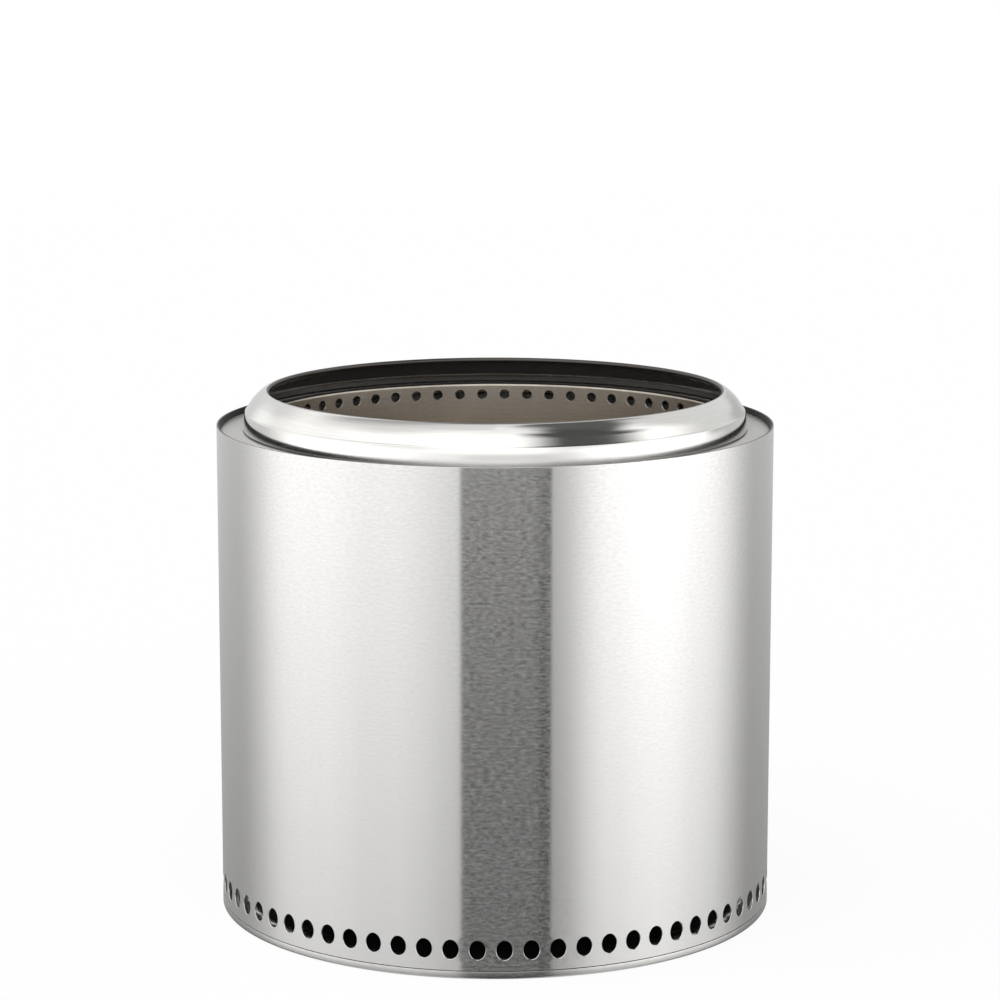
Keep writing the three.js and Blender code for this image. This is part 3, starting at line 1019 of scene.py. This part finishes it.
@dataclass
class Base:
    """The pressed bottom plate with its rolled foot band, and what stands on it."""

    sheet: float = 1.0 * MM
    foot_width: float = 12.5 * MM
    recess_slope: float = 4.0 * MM
    recess_height: float = 8.0 * MM
    band_height: float = 5.0 * MM
    band_inset: float = 1.5 * MM
    band_bend: float = 1.5 * MM
    band_shoulder: float = 0.3 * MM
    band_edge: float = 0.12 * MM
    foot_bend: float = 2.0 * MM
    recess_bend: float = 3.0 * MM
    shield_rim: float = 2.5 * MM
    shield_bend: float = 1.2 * MM
    bracket_count: int = 4
    bracket_sheet: float = 1.5 * MM
    bracket_width: float = 30 * MM
    bracket_riser: float = 154.97 * MM
    bracket_top: float = 13 * MM
    bracket_foot: float = 15 * MM
    bracket_bend: float = 2.5 * MM
    standoff_count: int = 3
    standoff_radius: float = 5.9 * MM
    standoff_chamfer: float = 0.5 * MM

    def build(self) -> None:
        """Makes the base and its pieces and dresses them."""
        steel = BASE_STEEL.material()
        self.plate(steel)
        self.shield(steel)
        for number in range(self.bracket_count):
            self.bracket(number, steel)
        for number in range(self.standoff_count):
            self.standoff(number, steel)

    def plate(self, steel: Material) -> None:
        """Makes the bottom plate.

        Args:
            steel: its finish.
        """
        radius = round_reach("bottom_plate")
        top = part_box("bottom_plate")[1].z
        recess = radius - self.foot_width - self.recess_slope
        corners = [
            Corner(radius - self.band_inset, top),
            Corner(radius - self.band_inset, self.band_height, self.band_shoulder),
            Corner(radius, self.band_height, self.band_edge),
            Corner(radius, 0.0, self.band_bend),
            Corner(recess + self.recess_slope, 0.0, self.foot_bend),
            Corner(recess, self.recess_height, self.recess_bend),
            Corner(0.0, self.recess_height),
        ]
        mesh = turned_sheet(corners, self.sheet)
        make_piece(mesh, "base_pressing", "bottom_plate", "drum", steel)

    def shield(self, steel: Material) -> None:
        """Makes the heat shield, a shallow tray with a stiffening step.

        Args:
            steel: its finish.
        """
        radius = round_reach("heat_shield") - self.sheet
        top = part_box("heat_shield")[0].z + self.sheet
        corners = [
            Corner(0.0, top),
            Corner(radius, top, self.shield_bend),
            Corner(radius, top + self.shield_rim),
        ]
        mesh = turned_sheet(corners, self.sheet, MEDIUM_TURN_STEPS)
        make_piece(mesh, "shield_plate", "heat_shield", "drum", steel)

    def bracket(self, number: int, steel: Material) -> None:
        """Makes one bent bracket.

        Args:
            number: which one, from 0.
            steel: its finish.
        """
        node = f"floor_bracket_{number + 1}"
        low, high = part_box(node)
        foot = low.z + self.bracket_sheet
        corners = [
            Corner(self.bracket_riser - self.bracket_top, high.z),
            Corner(self.bracket_riser, high.z, self.bracket_bend),
            Corner(self.bracket_riser, foot, self.bracket_bend - self.bracket_sheet),
            Corner(self.bracket_riser + self.bracket_foot, foot),
        ]
        mesh = folded_strip(corners, self.bracket_sheet, self.bracket_width)
        ease_edges(mesh, STRIP_EDGE, ROUND_EDGE_STEPS)
        swing(mesh, (number + 0.5) * FULL_TURN / self.bracket_count)
        make_piece(mesh, f"bracket_{number + 1}", node, "drum", steel)

    def standoff(self, number: int, steel: Material) -> None:
        """Makes one turned standoff with chamfered ends.

        Args:
            number: which one, from 0.
            steel: its finish.
        """
        node = f"shield_standoff_{number + 1}"
        low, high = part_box(node)
        middle = (low + high) / 2
        corners = [
            Corner(0.0, low.z),
            Corner(self.standoff_radius, low.z, self.standoff_chamfer),
            Corner(self.standoff_radius, high.z, self.standoff_chamfer),
            Corner(0.0, high.z),
        ]
        mesh = turned_solid(corners)
        bmesh.ops.translate(mesh, verts=mesh.verts, vec=(middle.x, middle.y, 0))
        make_piece(mesh, f"standoff_{number + 1}", node, "drum", steel)


@dataclass
class Deck:
    """The pressed deck between the walls, sunk below the lip, with its raised seat."""

    sheet: float = 1.2 * MM
    seat_width: float = 4.4 * MM
    seat_rise: float = 6.0 * MM
    riser: float = 169.37 * MM
    seat_bend: float = 1.8 * MM
    riser_bend: float = 1.2 * MM
    flange_bend: float = 1.6 * MM

    def build(self) -> None:
        """Makes the deck and dresses it."""
        low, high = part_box("top_deck")
        outside = round_reach("top_deck")
        floor = high.z - self.seat_rise
        corners = [
            Corner(self.riser - self.seat_width, high.z),
            Corner(self.riser, high.z, self.seat_bend),
            Corner(self.riser, floor, self.riser_bend),
            Corner(outside, floor, self.flange_bend),
            Corner(outside, low.z),
        ]
        mesh = turned_sheet(corners, self.sheet)
        make_piece(mesh, "deck_pressing", "top_deck", "drum", DECK_STEEL.material())


@dataclass
class Chamber:
    """The burn chamber: its wall with the upper air holes, and the ledge that closes its foot.

    The wall's rings are the heights where its sheet has a row of points below the holes.
    """

    radius: float = 161.97 * MM
    sheet: float = 1.0 * MM
    flange_bend: float = 2.0 * MM
    flange_drop: float = 2.2 * MM
    wall_rings: tuple[float, float] = (322 * MM, 200 * MM)
    ledge_hole: float = 135.97 * MM
    ledge_lip: float = 6.0 * MM
    ledge_bend: float = 3.0 * MM
    rim_bend: float = 1.5 * MM
    holes: HoleRow = HoleRow(
        count=62, width=7 * MM, height=7 * MM, centre=331 * MM, margin=1.4 * MM,
        first=math.radians(3.34), columns=6, rows=3,
    )

    def build(self) -> None:
        """Makes the wall and the ledge and dresses them."""
        steel = CHAMBER_STEEL.material()
        low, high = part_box("inner_wall")
        flange = round_reach("inner_wall")
        up = [
            Corner(self.radius, high.z - self.flange_drop),
            Corner(self.radius, high.z, self.flange_bend),
            Corner(flange, high.z),
        ]
        down = [Corner(self.radius, height) for height in (*self.wall_rings, low.z)]
        wall = punched_sheet(self.holes, self.radius, up, down, self.sheet, -1)
        ease_edges(wall, THIN_EDGE)
        make_piece(wall, "chamber_wall", "inner_wall", "drum", steel)

        foot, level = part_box("chamber_floor")
        rim = round_reach("chamber_floor")
        corners = [
            Corner(self.ledge_hole, level.z - self.ledge_lip),
            Corner(self.ledge_hole, level.z, self.ledge_bend),
            Corner(rim, level.z, self.rim_bend),
            Corner(rim, foot.z),
        ]
        ledge = turned_sheet(corners, self.sheet)
        ease_edges(ledge, THIN_EDGE)
        make_piece(ledge, "chamber_ledge", "chamber_floor", "drum", steel)


@dataclass
class FlameRing:
    """The loose pressed ring: a rolled bead, a domed face, a crease and an upright skirt.

    The face's corners are given by their radius, their height over the drum's lip and their bend.
    """

    sheet: float = 1.0 * MM
    bead: float = 1.8 * MM
    bead_tail: float = 0.6 * MM
    bead_flat: float = 0.5 * MM
    bead_shoulder: float = 1.2 * MM
    opening: float = 154.5 * MM
    lip_height: float = 336 * MM
    face: tuple[tuple[float, float, float], ...] = (
        (161.5 * MM, 20.3 * MM, 2.4 * MM),
        (166.0 * MM, 16.0 * MM, 2.2 * MM),
        (170.3 * MM, 9.5 * MM, 0.4 * MM),
        (170.95 * MM, 8.95 * MM, 0.35 * MM),
        (171.6 * MM, 5.2 * MM, 1.6 * MM),
    )

    def build(self) -> None:
        """Makes the ring and dresses it."""
        low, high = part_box("flame_ring")
        skirt = round_reach("flame_ring")
        inside, top = self.opening, high.z
        lip = self.lip_height
        bead_out, bead_low = inside + 2 * self.bead, top - 2 * self.bead
        corners = [
            Corner(inside + self.bead + self.bead_tail, bead_low),
            Corner(inside, bead_low, self.bead),
            Corner(inside, top, self.bead),
            Corner(bead_out - self.bead_flat, top, self.bead_shoulder),
            *(Corner(radius, lip + height, bend) for radius, height, bend in self.face),
            Corner(skirt, low.z),
        ]
        mesh = turned_sheet(corners, self.sheet)
        make_piece(mesh, "ring_pressing", "flame_ring", "flame_ring", RING_STEEL.material())


@dataclass
class AshPan:
    """The lift-out ash pan, and the folding ring with its saddle and rivets.

    A rivet's head is a share of its CAD node's radius, and its crown is a share of the head.
    """

    inside: float = 132.09 * MM
    sheet: float = 1.0 * MM
    corner_bend: float = 5.0 * MM
    rim_bend: float = 1.6 * MM
    wire: float = 1.5 * MM
    loop_half: float = 18 * MM
    loop_reach: float = 22 * MM
    front_bend: float = 6 * MM
    axle_bend: float = 2.4 * MM
    saddle_sheet: float = 1.2 * MM
    saddle_width: float = 14 * MM
    saddle_half: float = 12 * MM
    arch: float = 3.1 * MM
    arch_bend: float = 2.6 * MM
    saddle_foot_bend: float = 0.5 * MM
    wall_start: float = 38.5 * MM
    floor_middle: float = 40 * MM
    rivet_shank: float = 1.45 * MM
    rivet_dome: float = 1.15 * MM
    rivet_head: float = 0.96
    rivet_crown: float = 0.8 / 0.96
    rivet_foot_bend: float = 0.4 * MM
    rivet_bend: float = 0.3 * MM
    rivet_seat_bend: float = 0.2 * MM
    rivet_crown_bend: float = 0.9 * MM
    holes: HoleRow = HoleRow(
        count=16, width=8 * MM, height=8 * MM, centre=31 * MM, margin=0.9 * MM, columns=16,
    )

    def build(self) -> None:
        """Makes the pan and its pieces and dresses them."""
        pan_steel, wire_steel = PAN_STEEL.material(), WIRE_STEEL.material()
        self.shell(pan_steel)
        self.saddle(pan_steel)
        for number in (1, 2):
            self.rivet(number, wire_steel)
        self.folding_ring(wire_steel)

    def shell(self, steel: Material) -> None:
        """Makes the pressed pan.

        Args:
            steel: its finish.
        """
        low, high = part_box("ash_pan")
        flange = round_reach("ash_pan")
        floor = low.z + self.sheet
        up = [
            Corner(self.inside, self.wall_start),
            Corner(self.inside, high.z, self.rim_bend),
            Corner(flange, high.z),
        ]
        down = [
            Corner(self.inside, floor + self.corner_bend),
            Corner(self.inside, floor, self.corner_bend),
            Corner(self.floor_middle, floor),
            Corner(0.0, floor),
        ]
        mesh = punched_sheet(self.holes, self.inside, up, down, self.sheet, -1)
        ease_edges(mesh, THIN_EDGE)
        make_piece(mesh, "pan_shell", "ash_pan", "ash_pan", steel)

    def saddle(self, steel: Material) -> None:
        """Makes the strap that arches over the folding ring's axle.

        Args:
            steel: its finish.
        """
        low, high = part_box("lift_ring_saddle")
        foot = low.z + self.saddle_sheet
        corners = [
            Corner(-self.saddle_half, foot),
            Corner(-self.arch, foot, self.saddle_foot_bend),
            Corner(-self.arch, high.z, self.arch_bend),
            Corner(self.arch, high.z, self.arch_bend),
            Corner(self.arch, foot, self.saddle_foot_bend),
            Corner(self.saddle_half, foot),
        ]
        mesh = folded_strip(corners, self.saddle_sheet, self.saddle_width)
        ease_edges(mesh, STRIP_EDGE, ROUND_EDGE_STEPS)
        swing(mesh, math.pi / 2)
        make_piece(mesh, "ring_saddle", "lift_ring_saddle", "ash_pan", steel)

    def rivet(self, number: int, steel: Material) -> None:
        """Makes one domed rivet.

        Args:
            number: which one, 1 or 2.
            steel: its finish.
        """
        node = f"saddle_rivet_{number}"
        low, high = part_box(node)
        middle = (low + high) / 2
        shank, dome = self.rivet_shank, self.rivet_dome
        head = self.rivet_head * (high.x - low.x) / 2
        corners = [
            Corner(0.0, low.z),
            Corner(head, low.z, self.rivet_foot_bend),
            Corner(head, low.z + dome, self.rivet_bend),
            Corner(shank, low.z + dome),
            Corner(shank, high.z - dome),
            Corner(head, high.z - dome, self.rivet_seat_bend),
            Corner(head * self.rivet_crown, high.z, self.rivet_crown_bend),
            Corner(0.0, high.z),
        ]
        mesh = turned_solid(corners, RIVET_TURN_STEPS)
        bmesh.ops.translate(mesh, verts=mesh.verts, vec=(middle.x, middle.y, 0))
        make_piece(mesh, f"rivet_{number}", node, "ash_pan", steel)

    def folding_ring(self, steel: Material) -> None:
        """Bends the wire ring: four straights and four bends, back to where it started.

        Args:
            steel: its finish.
        """
        low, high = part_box("pan_lift_ring")
        level = (low.z + high.z) / 2
        mesh = bmesh.new()
        across = Matrix.Translation((0, 0, level)) @ Matrix.Rotation(math.pi / 2, 4, "Y")
        bmesh.ops.create_circle(mesh, segments=WIRE_SIDES, radius=self.wire, matrix=across)
        end: list[BMEdge] = mesh.edges[:]
        place, heading = Vector((0.0, 0.0, level)), Vector((1.0, 0.0, 0.0))
        legs = (
            (self.loop_half, self.axle_bend),
            (self.loop_reach, self.front_bend),
            (2 * self.loop_half, self.front_bend),
            (self.loop_reach, self.axle_bend),
            (self.loop_half, 0.0),
        )
        last_bend = 0.0
        for reach, bend in legs:
            run = heading * (reach - last_bend - bend)
            verts, end = draw_edges(mesh, end)
            bmesh.ops.translate(mesh, verts=verts, vec=run)
            place += run
            if bend > 0:
                side = heading.cross(UP)
                turned = bmesh.ops.spin(
                    mesh, geom=end, axis=UP, cent=place + side * bend, angle=-math.pi / 2,
                    steps=WIRE_BEND_STEPS, use_merge=False,
                )["geom_last"]
                end = [g for g in turned if isinstance(g, BMEdge)]
                place += (heading + side) * bend
                heading = side
            last_bend = bend
        bmesh.ops.remove_doubles(mesh, verts=mesh.verts, dist=WIRE_WELD_DISTANCE)
        bmesh.ops.recalc_face_normals(mesh, faces=mesh.faces)
        make_piece(mesh, "folding_ring", "pan_lift_ring", "pan_lift_ring", steel)


@dataclass
class Grate:
    """The perforated plate with its finger hole and turned-down rim."""

    sheet: float = 2.0 * MM
    finger_hole: float = 12.5 * MM
    hole: float = 6.0 * MM
    ring_count: int = 4
    rim_width: float = 25 * MM
    holes_per_step: int = 6
    rim_bend: float = 3.0 * MM
    land: float = 1 * MM

    def build(self) -> None:
        """Makes the grate and dresses it."""
        low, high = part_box("fire_grate")
        radius = round_reach("fire_grate")
        pitch = (radius - self.rim_width) / self.ring_count
        mesh = bmesh.new()
        level = Matrix.Translation((0, 0, high.z))
        flat = radius - self.rim_bend
        bmesh.ops.create_circle(mesh, segments=TURN_STEPS, radius=flat, matrix=level)
        rim = mesh.edges[:]
        places = [(0.0, 0.0, self.finger_hole)]
        for ring in range(1, self.ring_count + 1):
            count = ring * self.holes_per_step
            places += [(ring * pitch, FULL_TURN * i / count, self.hole) for i in range(count)]
        for reach, turn, size in places:
            centre = Matrix.Translation((reach * math.sin(turn), -reach * math.cos(turn), high.z))
            bmesh.ops.create_circle(mesh, segments=GRATE_HOLE_SIDES, radius=size, matrix=centre)
        bmesh.ops.triangle_fill(
            mesh, use_beauty=True, use_dissolve=False, edges=mesh.edges[:], normal=UP,
        )
        bend = stations([
            Corner(flat - self.land, high.z),
            Corner(radius, high.z, self.rim_bend),
            Corner(radius, low.z),
        ])
        # The first two points are on the flat plate, the second of them on its rim
        draw_out(mesh, rim, bend[2:])
        face_way(mesh, Vector((0, -self.finger_hole - self.land, high.z)), UP)
        bmesh.ops.solidify(mesh, geom=mesh.faces[:], thickness=self.sheet)
        ease_edges(mesh, PLATE_EDGE, ROUND_EDGE_STEPS)
        make_piece(mesh, "grate_plate", "fire_grate", "fire_grate", GRATE_STEEL.material())


def main() -> None:
    """Sets the studio up, builds the pit piece by piece, and notes how large it came out."""
    logging.basicConfig(level=logging.INFO, format="%(name)s: %(message)s")
    bpy.context.scene.view_settings.view_transform = "Standard"
    studio = Studio()
    studio.camera()
    studio.light()
    studio.floor()
    for part in (Drum(), Base(), Deck(), Chamber(), FlameRing(), AshPan(), Grate()):
        part.build()


if __name__ == "__main__":
    main()
